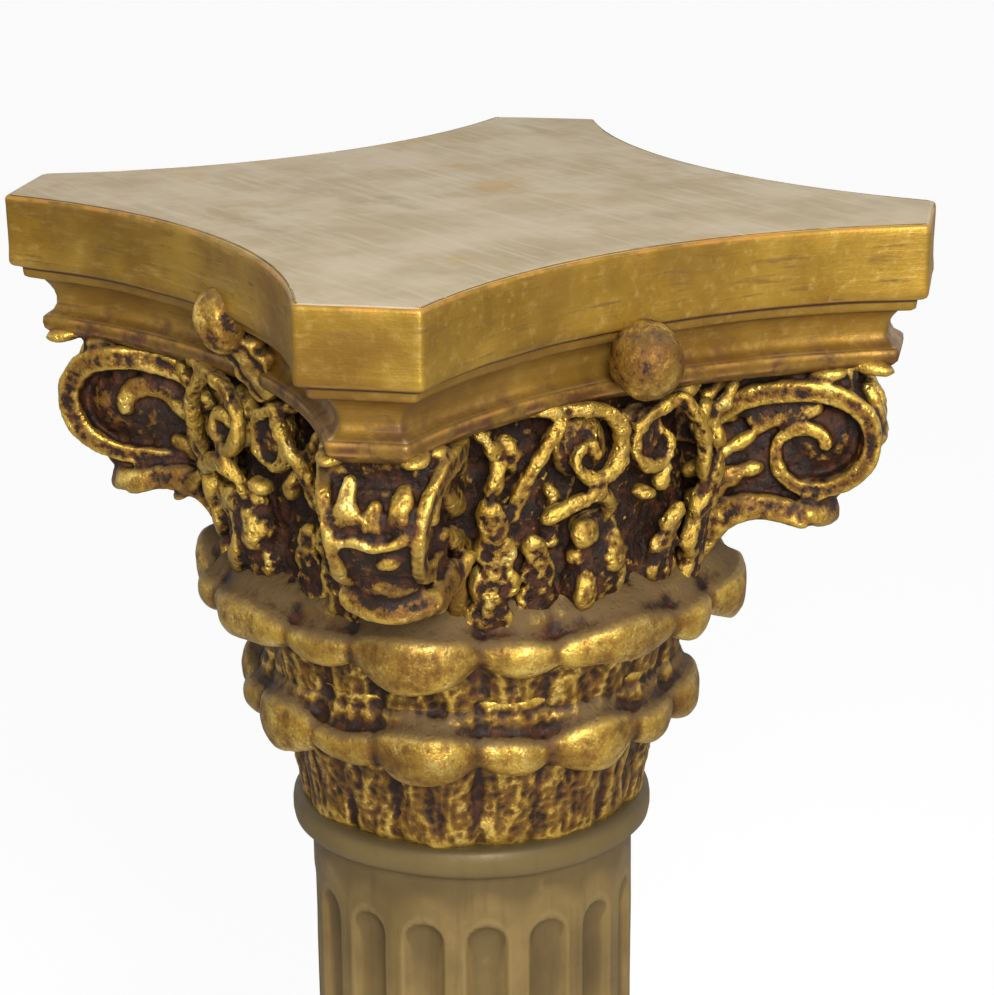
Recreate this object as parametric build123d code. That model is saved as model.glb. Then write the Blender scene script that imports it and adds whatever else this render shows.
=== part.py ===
from build123d import *
from math import asin, cos, pi, radians, sin, sqrt
import os

# A gilded resin column in three bonded castings: a moulded base on a square plinth, a
# fluted shaft that carries the ring under the capital, and a Corinthian capital whose
# abacus is the table top. Millimetres, +Z up. The origin is the centre of the plinth's
# underside, and the capital's horns point along the diagonals of X and Y.

# Base: square plinth, torus, collar
PLINTH_WIDTH = 280.0
PLINTH_HEIGHT = 58.0
TORUS_RADIUS = 126.0
TORUS_HEIGHT = 42.0
COLLAR_RADIUS = 96.0
COLLAR_HEIGHT = 25.0

# Shaft, with its foot, its flutes and the ring at its head
SHAFT_RADIUS = 69.0
SHAFT_HEIGHT = 607.0
FOOT_RADIUS = 78.0
FOOT_HEIGHT = 12.0
FLUTE_COUNT = 16
FLUTE_WIDTH = 17.6
FLUTE_DEPTH = 4.6
FLUTE_NOSE = 4.4
FLUTE_SIDES = 4
FLUTE_HEAD_GAP = 26.0
FLUTE_FOOT_GAP = 30.0
FLUTE_TURN = -6.1
RING_RADIUS = 77.0
RING_HEIGHT = 13.0

# Capital: the bell, from its foot up to the underside of the abacus
BELL_FOOT_RADIUS = 72.0
BELL_WAIST_RADIUS = 84.0
BELL_RADIUS = 94.0
BELL_CORE = 80.0
BELL_SIDES = 16
BELL_HEIGHT = 193.0

# Abacus: four hollow sides and four cut corners, in the order the mould steps inwards
ABACUS_WIDTH = 300.0
ABACUS_CORNER = 46.7
ABACUS_HOLLOW = 30.6
FASCIA_HEIGHT = 29.4
FILLET_HEIGHT = 5.6
COVE_HEIGHT = 18.0
LIP_HEIGHT = 9.0
FILLET_STEP = 4.5
COVE_DEPTH = 16.2
LIP_STEP = 10.8

# Boss in the middle of each side
BOSS_RADIUS = 17.0
BOSS_PROUD = 5.6
BOSS_DROP = 42.0

# Volute under each horn: its scroll, its raised rims and the leaf that carries it
VOLUTE_SPREAD = 0.48
VOLUTE_DROP = 90.0
VOLUTE_RADIUS = 26.5
VOLUTE_STRETCH = 1.13
VOLUTE_TURNS = 1.5
VOLUTE_START = 155.0
VOLUTE_THICKNESS = 41.0
VOLUTE_WEB = 26.0
VOLUTE_LEAF_WIDTH = 35.0
RIM_WIDTH = 6.5
SCROLL_CLOSING = 0.8
SCROLL_SIDES = 11

# Small scrolls in pairs on each side, and the leaf between each pair
HELIX_RADIUS = 14.5
HELIX_OFFSET = 15.0
HELIX_DROP = 82.0
HELIX_REACH = 109.0
HELIX_BAND = 4.5
HELIX_TURNS = 1.1
HELIX_START = 60.0
STALK_WIDTH = 34.0
STALK_HEIGHT = 52.0
STALK_REACH = 104.0

# Two tiers of acanthus leaves: the reach of their lips, and their height on the bell
UPPER_REACH = 118.0
UPPER_CREST = 106.0
LOWER_REACH = 100.0
LOWER_CREST = 56.0
CORNER_LEAF_WIDTH = 48.0
SIDE_LEAF_WIDTH = 60.0
UPPER_SMALL_LEAF_WIDTH = 27.0
LOWER_LEAF_WIDTH = 46.0
LOWER_SMALL_LEAF_WIDTH = 33.0
SIDE_LEAF_SETBACK = 3.0
SMALL_LEAF_SETBACK = 6.0
SMALL_LEAF_DROP = 3.0
LIP_HEIGHT_OVERALL = 25.0
LIP_CROWN = 14.0
LIP_CREST_STEP = 8.0
LIP_HEM = 8.0
LIP_HEM_STEP = 6.0
LIP_ROUNDING = 0.8
LIP_SIDES = 4
LIP_UNDERCUT = 16.0

# Levels, from the ground up
PLINTH_TOP = PLINTH_HEIGHT
TORUS_TOP = PLINTH_TOP + TORUS_HEIGHT
BASE_TOP = TORUS_TOP + COLLAR_HEIGHT
SHAFT_TOP = BASE_TOP + SHAFT_HEIGHT
CAPITAL_FOOT = SHAFT_TOP + RING_HEIGHT
BELL_TOP = CAPITAL_FOOT + BELL_HEIGHT
ABACUS_HEIGHT = FASCIA_HEIGHT + FILLET_HEIGHT + COVE_HEIGHT + LIP_HEIGHT
TOP = BELL_TOP + ABACUS_HEIGHT

# Reaches from the axis, to the abacus's hollow sides and cut corners, and what they carry
SIDE_REACH = ABACUS_WIDTH / 2 - ABACUS_HOLLOW
CORNER_REACH = (ABACUS_WIDTH - ABACUS_CORNER / sqrt(2)) / sqrt(2)
BOSS_REACH = SIDE_REACH + BOSS_PROUD
VOLUTE_REACH = VOLUTE_SPREAD * ABACUS_WIDTH

DIAGONALS = [45 + 90 * quarter for quarter in range(4)]
SIDES = [90 * quarter for quarter in range(4)]


def turned(*outline):
    """Solid turned about Z from an outline of (radius, height) points."""
    return revolve(Plane.XZ * make_face(Polyline(*outline, close=True)), Axis.Z)


def around(angles, solid):
    """Copies of a solid, turned about Z to each angle."""
    return [Rot(0, 0, angle) * solid for angle in angles]


def slab(face, thickness):
    """Flat solid with its face in X and Z, centred on Y."""
    return extrude(Plane.XZ * face, thickness / 2, both=True)


def bevel_end(solid, end, inset, height):
    """Bevel the edges round the lowest (0) or highest (-1) face of an upright solid."""
    face = solid.faces().sort_by(Axis.Z)[end]
    return chamfer(face.edges(), inset, height, reference=face)


# Base


def make_base():
    torus_edge = PLINTH_TOP + 0.6 * TORUS_HEIGHT
    torus_crown = TORUS_RADIUS - 0.5 * TORUS_HEIGHT
    plinth = Pos(0, 0, PLINTH_TOP / 2) * Box(PLINTH_WIDTH, PLINTH_WIDTH, PLINTH_TOP)
    mouldings = turned(
        (0, PLINTH_TOP),
        (TORUS_RADIUS, PLINTH_TOP),
        (TORUS_RADIUS, torus_edge),
        (torus_crown, TORUS_TOP),
        (COLLAR_RADIUS, TORUS_TOP),
        (COLLAR_RADIUS, BASE_TOP),
        (0, BASE_TOP),
    )
    return plinth + mouldings


# Shaft: the flute cutter is a many-sided rod with a bevelled nose at each end


def make_flute():
    half_width = FLUTE_WIDTH / 2
    rod_radius = (half_width**2 + FLUTE_DEPTH**2) / (2 * FLUTE_DEPTH)
    rod_reach = SHAFT_RADIUS - FLUTE_DEPTH + rod_radius
    sweep = asin(half_width / rod_radius)
    turns = [pi + sweep * (2 * side / FLUTE_SIDES - 1) for side in range(FLUTE_SIDES + 1)]
    hollow = [(rod_reach + rod_radius * cos(turn), rod_radius * sin(turn)) for turn in turns]
    edge = SHAFT_RADIUS + 4 * FLUTE_NOSE
    section = make_face(Polyline((edge, half_width), *hollow, (edge, -half_width), close=True))
    low = BASE_TOP + FLUTE_FOOT_GAP
    high = SHAFT_TOP - FLUTE_HEAD_GAP
    rod = extrude(Pos(0, 0, low) * section, high - low)
    for end in (0, -1):
        rod = bevel_end(rod, end, FLUTE_NOSE, 1.6 * FLUTE_NOSE)
    return rod


def make_shaft():
    body = turned(
        (0, BASE_TOP),
        (FOOT_RADIUS, BASE_TOP),
        (FOOT_RADIUS, BASE_TOP + FOOT_HEIGHT),
        (SHAFT_RADIUS, BASE_TOP + FOOT_HEIGHT),
        (SHAFT_RADIUS, SHAFT_TOP),
        (RING_RADIUS, SHAFT_TOP),
        (RING_RADIUS, CAPITAL_FOOT - RING_HEIGHT / 4),
        (RING_RADIUS - RING_HEIGHT / 4, CAPITAL_FOOT),
        (0, CAPITAL_FOOT),
    )
    pitch = 360 / FLUTE_COUNT
    angles = [45 + FLUTE_TURN + pitch * flute for flute in range(FLUTE_COUNT)]
    return body - around(angles, make_flute())


# Abacus: a square block, cut by a turned cutter along each hollow side and by a straight
# one across each corner, so that both follow the same stepped section


def mould_section():
    """Points (inset, height) of the abacus's edge, from the table top down."""
    step_top = TOP - FASCIA_HEIGHT
    cove_top = step_top - FILLET_HEIGHT
    cove_foot = cove_top - COVE_HEIGHT
    return [
        (0, TOP),
        (0, step_top),
        (FILLET_STEP, step_top),
        (FILLET_STEP, cove_top),
        (LIP_STEP, cove_top),
        (COVE_DEPTH, cove_top - 0.6 * COVE_HEIGHT),
        (LIP_STEP, cove_foot),
        (LIP_STEP, BELL_TOP),
    ]


def make_abacus():
    chord = ABACUS_WIDTH / 2 - ABACUS_CORNER / sqrt(2)
    side_radius = (chord**2 + ABACUS_HOLLOW**2) / (2 * ABACUS_HOLLOW)
    section = mould_section()
    block = Pos(0, 0, (TOP + BELL_TOP) / 2) * Box(ABACUS_WIDTH, ABACUS_WIDTH, ABACUS_HEIGHT)

    side_edge = [(side_radius + inset, level) for inset, level in section]
    side_cutter = Pos(SIDE_REACH + side_radius, 0, 0) * turned((0, TOP), *side_edge, (0, BELL_TOP))
    corner_edge = [(CORNER_REACH - inset, level) for inset, level in section]
    outside = ABACUS_WIDTH
    corner_outline = Polyline((outside, TOP), *corner_edge, (outside, BELL_TOP), close=True)
    corner_cutter = slab(make_face(corner_outline), ABACUS_WIDTH)
    return block - around(SIDES, side_cutter) - around(DIAGONALS, corner_cutter)


def make_boss():
    """Round boss, many-sided like the scrolls, with a bevelled face."""
    button = extrude(RegularPolygon(BOSS_RADIUS, 12), BOSS_RADIUS, both=True)
    button = bevel_end(button, -1, 0.45 * BOSS_RADIUS, 0.55 * BOSS_RADIUS)
    return Pos(BOSS_REACH, 0, TOP - BOSS_DROP) * Rot(0, 90, 0) * button


# Scrolls: a band between two spirals that close in as they turn


def spiral(centre, radius, stretch, turns, start, inset):
    """Points of a clockwise spiral, from its outer end in to its eye."""
    points = []
    steps = round(turns * SCROLL_SIDES)
    for step in range(steps + 1):
        share = step / steps
        angle = radians(start - 360 * turns * share)
        reach = radius * (1 - SCROLL_CLOSING * share**2) - inset * (1 - 0.5 * share)
        points.append((centre[0] + stretch * reach * cos(angle), centre[1] + reach * sin(angle)))
    return points


def scroll_band(centre, radius, stretch, turns, start, width):
    outer = spiral(centre, radius, stretch, turns, start, 0)
    inner = spiral(centre, radius, stretch, turns, start, width)
    return make_face(Polyline(*outer, *reversed(inner), close=True))


def make_volute():
    level = TOP - VOLUTE_DROP
    centre = (VOLUTE_REACH, level)
    reach = VOLUTE_RADIUS * VOLUTE_STRETCH
    band = scroll_band(centre, VOLUTE_RADIUS, VOLUTE_STRETCH, VOLUTE_TURNS, VOLUTE_START, RIM_WIDTH)
    rim_thickness = (VOLUTE_THICKNESS - VOLUTE_WEB) / 2
    rim = Pos(0, VOLUTE_WEB / 2, 0) * extrude(Plane.XZ * band, -rim_thickness)
    rims = rim + mirror(rim, Plane.XZ)
    web_radius = VOLUTE_RADIUS - RIM_WIDTH / 3
    web = slab(Pos(*centre) * RegularPolygon(web_radius, SCROLL_SIDES), VOLUTE_WEB)

    # the leaf climbs from the bell, arches over and curls out under the scroll
    bottom = level - VOLUTE_RADIUS
    arch_foot = (BELL_RADIUS - 4, bottom - 0.9 * VOLUTE_RADIUS)
    arch_middle = (VOLUTE_REACH - 1.25 * reach, bottom - 0.45 * VOLUTE_RADIUS)
    arch_top = (VOLUTE_REACH - 0.6 * reach, bottom - 0.2 * VOLUTE_RADIUS)
    tip_foot = (VOLUTE_REACH, bottom - 0.5 * VOLUTE_RADIUS)
    tip = (VOLUTE_REACH + 0.32 * reach, bottom - 0.1 * VOLUTE_RADIUS)
    back = (BELL_RADIUS - 20, BELL_TOP - 5)
    outline = [ThreePointArc(arch_foot, arch_middle, arch_top)]
    outline += Polyline(arch_top, tip_foot, tip, centre, (BELL_RADIUS, BELL_TOP - 5), back, arch_foot).edges()
    leaf = make_face(outline)
    below = Pos(VOLUTE_REACH, 0, bottom - reach) * Box(4 * reach, 2 * VOLUTE_THICKNESS, 2 * reach)
    return slab(leaf, VOLUTE_WEB) + (slab(leaf, VOLUTE_LEAF_WIDTH) & below) + web + rims


def make_helix():
    """One small scroll and its stem, on the side of positive X and Y."""
    centre = (HELIX_OFFSET, TOP - HELIX_DROP)
    band = scroll_band(centre, HELIX_RADIUS, 1, HELIX_TURNS, HELIX_START, HELIX_BAND)
    outer = HELIX_OFFSET + HELIX_RADIUS
    top = centre[1] + HELIX_RADIUS
    low = centre[1] - HELIX_RADIUS
    stem = Polyline(
        (HELIX_OFFSET, top),
        (outer + 8, top + 6),
        (outer + 8, top + 6 - HELIX_BAND),
        (outer + 2, top - HELIX_BAND),
        (outer + 14, low),
        (outer + 14 - HELIX_BAND, low),
        (outer - 5, top - HELIX_BAND),
        (HELIX_OFFSET, top - HELIX_BAND),
        close=True,
    )
    proud = HELIX_REACH - BELL_CORE
    scroll = extrude(Plane.YZ.offset(BELL_CORE) * band, proud)
    return scroll + extrude(Plane.YZ.offset(BELL_CORE) * make_face(stem), proud - 3)


def make_stalk():
    """Upright leaf in the middle of a side, between the pair of small scrolls."""
    foot = CAPITAL_FOOT + UPPER_CREST - 4
    half = STALK_WIDTH / 2
    right = [(0.5 * half, 0), (half, 0.45 * STALK_HEIGHT), (0.7 * half, 0.85 * STALK_HEIGHT)]
    left = [(-across, up) for across, up in reversed(right)]
    points = right + [(0, STALK_HEIGHT)] + left
    leaf = make_face(Polyline(*[(across, foot + up) for across, up in points], close=True))
    return extrude(Plane.YZ.offset(BELL_CORE) * leaf, STALK_REACH - BELL_CORE)


# Leaves: each has a body up the bell and a lip, swelling from its crest to its widest
# level and drawn in again to its hanging edge


def make_lip(reach, width, crest):
    half = width / 2
    core = BELL_FOOT_RADIUS / 2
    seat = reach - LIP_ROUNDING * half
    turns = [radians(180 * step / LIP_SIDES - 90) for step in range(LIP_SIDES + 1)]
    front = [(seat + LIP_ROUNDING * half * cos(turn), half * sin(turn)) for turn in turns]
    plan = make_face(Polyline((core, -half), *front, (core, half), close=True))
    high = CAPITAL_FOOT + crest
    low = high - LIP_HEIGHT_OVERALL
    lip = extrude(Pos(0, 0, low) * plan, LIP_HEIGHT_OVERALL)
    lip = bevel_end(lip, -1, LIP_CREST_STEP, LIP_CROWN)
    lip = bevel_end(lip, 0, LIP_HEM_STEP, LIP_HEM)
    return lip


def make_leaf(reach, width, foot, crest):
    """A large leaf: its body stands against the bell, from foot up to the lip."""
    core = BELL_FOOT_RADIUS / 2
    hem = CAPITAL_FOOT + crest - LIP_HEIGHT_OVERALL + LIP_HEM
    body = Polyline(
        (core, CAPITAL_FOOT + foot),
        (BELL_FOOT_RADIUS + 0.1 * foot + 2, CAPITAL_FOOT + foot),
        (reach - LIP_UNDERCUT, hem),
        (core, hem),
        close=True,
    )
    return make_lip(reach, width, crest) + slab(make_face(body), 0.65 * width)


def make_bell():
    """Round foot, then many-sided where it steps out behind the leaves and the scrolls."""
    lower_step = CAPITAL_FOOT + LOWER_CREST - LIP_CROWN
    upper_step = CAPITAL_FOOT + UPPER_CREST - LIP_CROWN
    foot = Pos(0, 0, (CAPITAL_FOOT + lower_step) / 2) * Cylinder(BELL_FOOT_RADIUS, lower_step - CAPITAL_FOOT)
    return foot + bell_drum(BELL_WAIST_RADIUS, lower_step, upper_step) + bell_drum(BELL_RADIUS, upper_step, BELL_TOP)


def bell_drum(radius, low, high):
    section = RegularPolygon(radius, BELL_SIDES, major_radius=False, rotation=180 / BELL_SIDES)
    return extrude(Pos(0, 0, low) * section, high - low)


def make_capital():
    between = [22.5 + 45 * eighth for eighth in range(8)]
    upper_foot = LOWER_CREST - LIP_CROWN
    small_upper = make_lip(
        UPPER_REACH - SMALL_LEAF_SETBACK, UPPER_SMALL_LEAF_WIDTH, UPPER_CREST - SMALL_LEAF_DROP
    )
    small_lower = make_lip(
        LOWER_REACH - SMALL_LEAF_SETBACK, LOWER_SMALL_LEAF_WIDTH, LOWER_CREST - SMALL_LEAF_DROP
    )
    corner_leaf = make_leaf(UPPER_REACH, CORNER_LEAF_WIDTH, upper_foot, UPPER_CREST)
    side_leaf = make_leaf(UPPER_REACH - SIDE_LEAF_SETBACK, SIDE_LEAF_WIDTH, upper_foot, UPPER_CREST)
    lower_leaf = make_leaf(LOWER_REACH, LOWER_LEAF_WIDTH, 0, LOWER_CREST)
    helix = make_helix()

    capital = make_bell() + around(DIAGONALS + SIDES, lower_leaf) + around(between, small_lower)
    capital += around(DIAGONALS, corner_leaf) + around(SIDES, side_leaf) + around(between, small_upper)
    capital += make_abacus()
    capital += around(SIDES, make_boss()) + around(DIAGONALS, make_volute())
    capital += around(SIDES, make_stalk()) + around(SIDES, helix)
    capital += around(SIDES, mirror(helix, Plane.XZ))
    return capital


os.makedirs("parts", exist_ok=True)
for name, piece in (("base", make_base()), ("shaft", make_shaft()), ("capital", make_capital())):
    export_step(piece, f"parts/{name}.step")
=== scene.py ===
"""Looks of a gilded resin Corinthian pedestal column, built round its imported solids.

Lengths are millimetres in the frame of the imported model, and a finished piece is scaled to
metres. A drop is a distance down from the table top. A feature of a horn or of a side is
made on the side of positive X, as (reach from the axis, across, drop), and is then
repeated round the column.
"""

import math

import bmesh
import bpy
import numpy as np
from mathutils import Matrix, Vector, noise


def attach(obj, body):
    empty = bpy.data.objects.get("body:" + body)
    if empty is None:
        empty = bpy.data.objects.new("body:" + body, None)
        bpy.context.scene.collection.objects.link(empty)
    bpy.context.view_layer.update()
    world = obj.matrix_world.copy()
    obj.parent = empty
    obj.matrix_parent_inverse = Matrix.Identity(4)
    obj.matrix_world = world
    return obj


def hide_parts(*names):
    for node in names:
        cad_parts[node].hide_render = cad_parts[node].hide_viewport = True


TOP = 1000.0
HORNS = (45, 135, 225, 315)
SIDES = (0, 90, 180, 270)
EIGHTHS = range(0, 360, 45)

# Abacus
ABACUS_WIDTH = 300.0
ABACUS_CORNER = 46.7
ABACUS_HOLLOW = 30.6
CORNER_REACH = (ABACUS_WIDTH - ABACUS_CORNER / math.sqrt(2)) / math.sqrt(2)
SIDE_REACH = ABACUS_WIDTH / 2 - ABACUS_HOLLOW
EDGE_ROUNDING = 1.6

# Volutes, bosses and the bud that one side has for a boss
VOLUTE_REACH, VOLUTE_DROP = 144.0, 90.0
BOSS_REACH, BOSS_DROP, BOSS_RADII = 123.0, 42.0, (15.5, 13.4, 15.4)
BUD_REACH, BUD_ACROSS, BUD_DROP, BUD_RADII = 117.0, 6.0, 33.0, (11, 11, 13.2)

# Shaft and base
SHAFT_RADIUS = 69.0
FLUTES, FLUTE_WIDTH, FLUTE_DEPTH, FLUTE_TURN = 16, 17.6, 4.8, -6.1
FLUTE_LOW, FLUTE_HIGH = 155.0, 707.0
COLUMNS_PER_FLUTE = 28
PLINTH_WIDTH, PLINTH_HEIGHT, PLINTH_EDGE = 280.0, 58.0, 2.2

# Radius of the bell behind the leaves, at drops from the table top
BELL_DROPS = (52, 75, 100, 128, 146, 160, 180, 196, 206, 225, 240, 256)
BELL_RADII = (86, 87, 89, 92, 94, 91, 87, 84, 80, 76, 73, 70.5)


# Shapes

def spline(a, b, c, d, t):
    """Value a share t of the way from b to c, on the smooth line through a, b, c and d."""
    bend, twist = 2 * a - 5 * b + 4 * c - d, 3 * b - a - 3 * c + d
    return 0.5 * (2 * b + (c - a) * t + bend * t**2 + twist * t**3)


def smooth_line(points, where):
    """Points on a smooth line through the given ones, at shares 0 to 1 of the way along."""
    points = np.array(points, float)
    steps = np.asarray(where) * (len(points) - 1)
    cell = np.clip(steps.astype(int), 0, len(points) - 2)
    t = (steps - cell)[:, None]
    padded = np.vstack([2 * points[0] - points[1], points, 2 * points[-1] - points[-2]])
    a, b, c, d = (padded[cell + k] for k in range(4))
    return spline(a, b, c, d, t)


def smooth_value(values, where):
    return smooth_line([[value] for value in values], where)[:, 0]


def unit(vectors):
    return vectors / np.maximum(np.linalg.norm(vectors, axis=1, keepdims=True), 1e-9)


def polar(radius, turn, height):
    """Places at a radius and an angle about the column's axis."""
    return np.column_stack([radius * np.cos(turn), radius * np.sin(turn), height])


def at_end(share):
    """Whether each share is at either end of 0 to 1."""
    return (share < 0.001) | (share > 0.999)


def bell_radius(drop):
    return np.interp(drop, BELL_DROPS, BELL_RADII)


def away_from(angle, centre):
    """Degrees from a centre round the column, at most 180 either way."""
    return (angle - centre + 180) % 360 - 180


def sheet(bm, along, around, place, worn=None):
    """Grid whose points (u, v) move to place(u, v), merged where it closes on itself."""
    layer = bm.verts.layers.float.get("worn") or bm.verts.layers.float.new("worn")
    grid = bmesh.ops.create_grid(bm, x_segments=along, y_segments=around, size=0.5)["verts"]
    corners = np.array([vert.co for vert in grid]) + 0.5
    u, v = corners[:, 0].clip(0, 1), corners[:, 1].clip(0, 1)
    for vert, point in zip(grid, place(u, v)):
        vert.co = point
    if worn is not None:
        for vert, value in zip(grid, worn(u, v)):
            vert[layer] = value
    bmesh.ops.remove_doubles(bm, verts=grid, dist=1e-3)


def band(
    bm, line, widths, heights, outward=(1, 0, 0),
    lobes=0, notch=0.0, vein=0.0, blunt=0.06, detail=(64, 20), full=0.8, dish=0.0,
):
    """Strip along a line of (reach, across, drop), its face turned outward.

    It makes a scroll, a stem or a leaf. Lobes and notch shape its edges, vein furrows its face,
    and blunt is the share of its length that each end takes to close. Full goes from 1 for a
    lens section to 0 for a square one, and dish sinks the face between the edges.
    """
    middle = [(reach, across, TOP - drop) for reach, across, drop in line]

    def place(u, v):
        centre = smooth_line(middle, u)
        before, after = (u - 0.01).clip(0, 1), (u + 0.01).clip(0, 1)
        ahead = unit(smooth_line(middle, after) - smooth_line(middle, before))
        face = np.broadcast_to(np.array(outward, float), centre.shape)
        across = unit(np.cross(face, ahead))
        face = unit(np.cross(ahead, across))
        end = np.sqrt(np.clip(np.minimum(u, 1 - u) / blunt, 0, 1))
        edge = 1 - notch * np.abs(np.cos(math.pi * lobes * u)) ** 3
        turn = 2 * math.pi * v
        side, lift = np.cos(turn), np.sin(turn)
        sunk = 1 - dish * np.clip(1 - 1.3 * np.cos(turn) ** 2, 0, 1) * (lift > 0)
        side = np.sign(side) * np.abs(side) ** full * smooth_value(widths, u) / 2 * edge * end
        lift = np.sign(lift) * np.abs(lift) ** full * sunk * smooth_value(heights, u) / 2 * end
        lift = lift * (1 + vein * np.cos(3 * math.pi * np.cos(turn)) * (lift > 0))
        return centre + across * side[:, None] + face * lift[:, None]

    sheet(bm, detail[0], detail[1], place)


def knob(bm, centre, radii, turns=(0, 0, 0)):
    """Rounded lump about (reach, across, drop), turned by angles about X, Y and Z."""
    made = bmesh.ops.create_uvsphere(bm, u_segments=20, v_segments=14, radius=1.0)["verts"]
    reach, across, drop = centre
    turn = Matrix.Identity(4)
    for angle, axis in zip(turns, "XYZ"):
        turn = Matrix.Rotation(math.radians(angle), 4, axis) @ turn
    place = Matrix.Translation((reach, across, TOP - drop)) @ turn @ Matrix.Diagonal((*radii, 1))
    bmesh.ops.transform(bm, matrix=place, verts=made)


def block(bm, low, high):
    """Box between two corners."""
    made = bmesh.ops.create_cube(bm, size=1.0)["verts"]
    middle, size = (Vector(low) + Vector(high)) / 2, Vector(high) - Vector(low)
    place = Matrix.Translation(middle) @ Matrix.Diagonal((*size, 1))
    bmesh.ops.transform(bm, matrix=place, verts=made)


def repeated(bm, angles):
    """Turns all that is made to the first angle, and copies it to the others."""
    geom = bm.verts[:] + bm.edges[:] + bm.faces[:]
    turn = Matrix.Rotation(math.radians(angles[0]), 3, "Z")
    bmesh.ops.rotate(bm, verts=bm.verts[:], matrix=turn)
    for angle in angles[1:]:
        copy = bmesh.ops.duplicate(bm, geom=geom)["geom"]
        verts = [part for part in copy if isinstance(part, bmesh.types.BMVert)]
        turn = Matrix.Rotation(math.radians(angle - angles[0]), 3, "Z")
        bmesh.ops.rotate(bm, verts=verts, matrix=turn)


def closed(bm):
    """Faces over every open edge loop."""
    open_edges = [edge for edge in bm.edges if edge.is_boundary]
    bmesh.ops.holes_fill(bm, edges=open_edges, sides=0)


def mesh_object(name, bm):
    bmesh.ops.recalc_face_normals(bm, faces=bm.faces[:])
    mesh = bpy.data.meshes.new(name)
    bm.to_mesh(mesh)
    bm.free()
    made = bpy.data.objects.new(name, mesh)
    bpy.context.scene.collection.objects.link(made)
    return made


def fuse(made, voxel):
    """Fuses overlapping shapes into one skin, with faces about a voxel wide."""
    remesh = made.modifiers.new("fuse", "REMESH")
    remesh.mode, remesh.voxel_size, remesh.adaptivity = "VOXEL", voxel, 0
    depsgraph = bpy.context.evaluated_depsgraph_get()
    mesh = bpy.data.meshes.new_from_object(made.evaluated_get(depsgraph))
    made.modifiers.clear()
    made.data = mesh


# Carved surface: what a cast has that its plain forms lack

def read(mesh, what):
    """Places or normals of all the points of a mesh."""
    values = np.empty(len(mesh.vertices) * 3, np.float32)
    mesh.vertices.foreach_get(what, values)
    return values.reshape(-1, 3).astype(float)


def write(mesh, points):
    mesh.vertices.foreach_set("co", points.astype(np.float32).ravel())
    mesh.update()


def smoothed(mesh, points, rounds):
    """Points moved half of the way to the mean of their neighbours, in each round."""
    edges = np.empty(len(mesh.edges) * 2, np.int32)
    mesh.edges.foreach_get("vertices", edges)
    ends, others = edges.reshape(-1, 2).T
    count = len(points)
    near = np.bincount(ends, minlength=count) + np.bincount(others, minlength=count)
    for _ in range(rounds):
        total = np.empty_like(points)
        for axis in range(3):
            total[:, axis] = np.bincount(ends, points[others, axis], count)
            total[:, axis] += np.bincount(others, points[ends, axis], count)
        points = 0.5 * points + 0.5 * total / near[:, None]
    return points


def lumps(points, size, seed):
    """Soft noise from about -1 to 1 at each point."""
    scaled = points / size + seed
    return np.array([noise.noise(point) for point in scaled.tolist()]) * 1.6


def weather(made, coarse, fine, soften=1, grain=None):
    """Lumps and dents as of a hand-carved pattern, then how far each point stands proud.

    Coarse and fine are each (size of a lump, its height), and grain adds a pattern of its own.
    """
    mesh = made.data
    points = smoothed(mesh, read(mesh, "co"), soften)
    write(mesh, points)
    outward = read(mesh, "normal")
    push = coarse[1] * lumps(points, coarse[0], 3.7) + fine[1] * lumps(points, fine[0], 11.3)
    if grain is not None:
        push = push + grain(points)
    points = points + outward * push[:, None]
    write(mesh, points)
    outward = read(mesh, "normal")
    for name, rounds in (("crest", 8), ("proud", 60)):
        values = ((points - smoothed(mesh, points, rounds)) * outward).sum(1)
        layer = mesh.attributes.new(name, "FLOAT", "POINT")
        layer.data.foreach_set("value", values.astype(np.float32))


def finish_piece(made, material, slot, *nodes):
    """To metres, with its finish, riding on the column and standing for solids of the frame."""
    made.data.transform(Matrix.Scale(0.001, 4))
    made.data.shade_smooth()
    made.data.materials.clear()
    made.data.materials.append(material)
    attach(made, "root")
    if nodes:
        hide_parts(*nodes)


# Abacus

def octant(inset):
    """Outline from the middle of a side to the middle of a horn, its corner slightly worn."""
    chord = ABACUS_WIDTH / 2 - ABACUS_CORNER / math.sqrt(2)
    side_radius = (chord**2 + ABACUS_HOLLOW**2) / (2 * ABACUS_HOLLOW)
    axis = SIDE_REACH + side_radius
    radius = side_radius + inset
    horn = CORNER_REACH - inset
    end = math.pi / 4 + math.asin((math.sqrt(2) * horn - axis) / (math.sqrt(2) * radius))
    corner = np.array([axis - radius * math.cos(end), radius * math.sin(end)])
    tip = np.array([horn, horn]) / math.sqrt(2)
    half = np.linalg.norm(tip - corner)

    def side_point(distance):
        angle = end - distance / radius
        return np.array([axis - radius * math.cos(angle), radius * math.sin(angle)])

    def horn_point(distance):
        return corner + (tip - corner) * distance / half

    far_side = np.linspace(radius * end, 14, 22)
    near_side = np.array([9.0, 5.0, 3.0, EDGE_ROUNDING])
    points = [side_point(distance) for distance in (*far_side, *near_side)]
    start, stop = side_point(EDGE_ROUNDING), horn_point(EDGE_ROUNDING)
    for t in (0.25, 0.5, 0.75):
        points.append((1 - t) ** 2 * start + 2 * t * (1 - t) * corner + t**2 * stop)
    near_horn = [EDGE_ROUNDING, 3.0, 5.5, 9.0, 14.0, half]
    points += [horn_point(min(distance, half)) for distance in near_horn]
    return np.array(points)


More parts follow.
